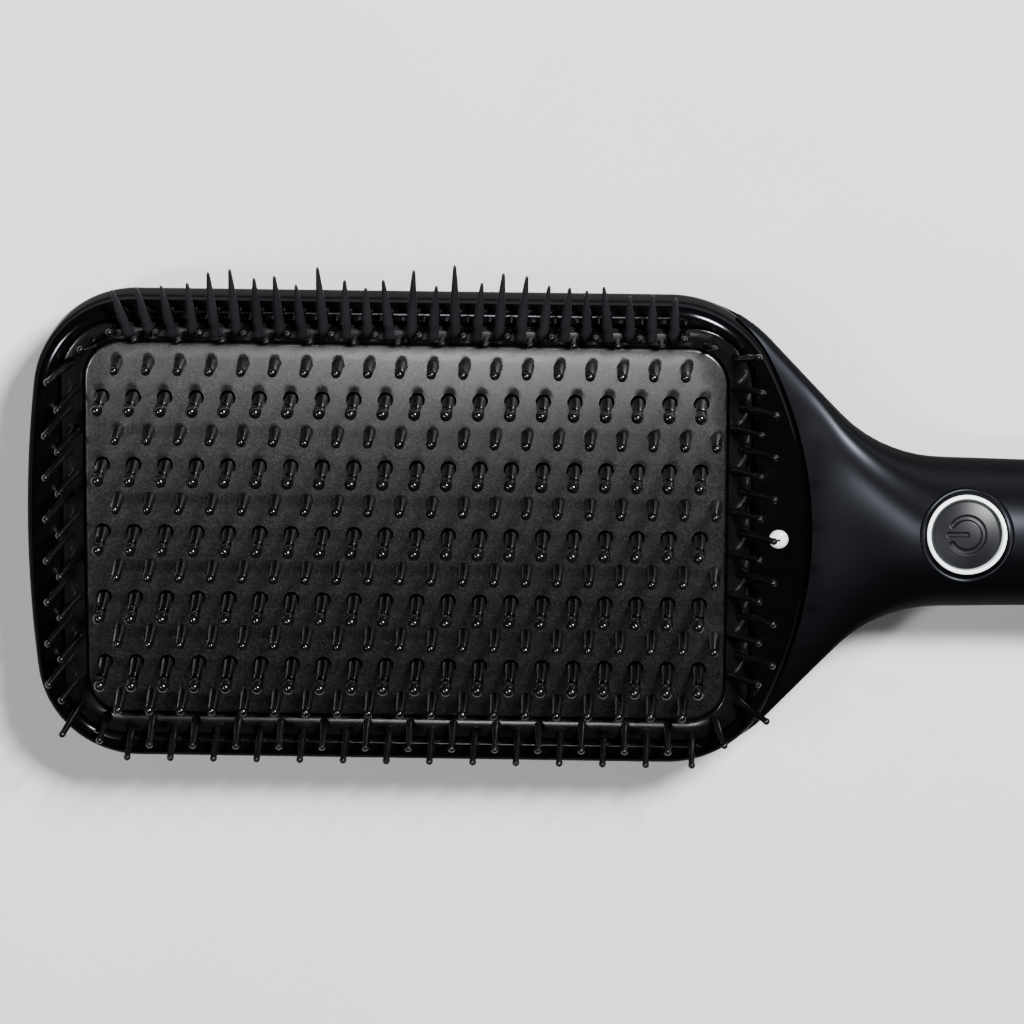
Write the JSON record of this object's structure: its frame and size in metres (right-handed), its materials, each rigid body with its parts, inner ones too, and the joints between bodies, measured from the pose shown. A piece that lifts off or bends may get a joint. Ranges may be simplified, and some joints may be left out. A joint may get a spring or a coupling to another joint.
{
  "type": "steam hair straightener brush",
  "caption": "Heated paddle brush with steam vents, metal posts, splayed rim bristles and a round lit power button on the handle.",
  "frame": {"origin": "middle of the flat back of the head, which lies on the table", "axes": "+Z out of the bristles, +X from the head along the handle, +Y to the left of someone who looks along the handle with the bristles up"},
  "size_m": [0.2989, 0.1056, 0.0373],
  "materials": {
    "gloss_black": "gloss",
    "satin_black": "satin",
    "plate_grey": "satin, fine speckle",
    "cast_metal": "as cast",
    "post_metal": "satin grey",
    "bristle_black": "satin",
    "seal": "matt silicone",
    "heatproof": "matt",
    "heater_steel": "plain",
    "screw_steel": "zinc plated",
    "insulator": "mica sheet",
    "sensor_metal": "bright",
    "bead_glass": "glass bead",
    "tank_clear": "clear smoke",
    "tube_clear": "milky silicone",
    "pump_grey": "matt",
    "white_plastic": "gloss",
    "lit_ring": "lit from below",
    "button_grey": "satin",
    "board_green": "solder mask",
    "component_dark": "matt",
    "lead_white": "silicone sleeve",
    "gland_rubber": "matt"
  },
  "bodies": {
    "brush": {"head_bezel": "gloss_black", "face_plate": "plate_grey", "post_base": "cast_metal", "post_rails": "post_metal", "post_tips": "bristle_black", "pin_strips": "bristle_black", "rim_bristles": "bristle_black", "side_comb": "bristle_black", "chamber_gasket": "seal", "heater_carrier": "heatproof", "heater_bars": "heater_steel", "heater_clamp": "heater_steel", "clamp_screws": "screw_steel", "heat_shield": "insulator", "thermal_fuse": "sensor_metal", "thermistor": "bead_glass", "water_tank": "tank_clear", "pump": "pump_grey", "suction_tube": "tube_clear", "feed_tube": "tube_clear", "ioniser_module": "heatproof", "emitter_needle": "sensor_metal", "ion_outlet": "white_plastic", "back_shell": "satin_black", "handle_front_shell": "satin_black", "light_ring": "lit_ring", "tact_switch": "heatproof", "led_board": "board_green", "control_board": "board_green", "mains_board": "board_green", "mains_parts": "component_dark", "board_screws": "screw_steel", "head_screws": "screw_steel", "handle_screws": "screw_steel", "screw_caps": "seal", "heater_leads": "lead_white", "mains_leads": "lead_white", "tail_cap": "satin_black"},
    "button": {"power_button": "button_grey", "switch_plunger": "white_plastic"},
    "plug": {"filler_plug": "seal"},
    "swivel": {"cord_swivel": "gland_rubber", "swivel_clip": "screw_steel"}
  },
  "joints": [
    {"name": "button_press", "type": "slide", "parent": "brush", "child": "button", "axis": [0, -0.2504, -0.9681], "range_m": [0, 0.0006], "stiffness_N_per_m": 2500, "springref_m": -0.0004},
    {"name": "plug_pull", "type": "slide", "parent": "brush", "child": "plug", "axis": [0, 0, -1], "range_m": [0, 0.008]},
    {"name": "swivel_turn", "type": "hinge", "parent": "brush", "child": "swivel", "pos_m": [0.2143, 0, 0.0162], "axis": [1, 0, 0], "continuous": true}
  ]
}
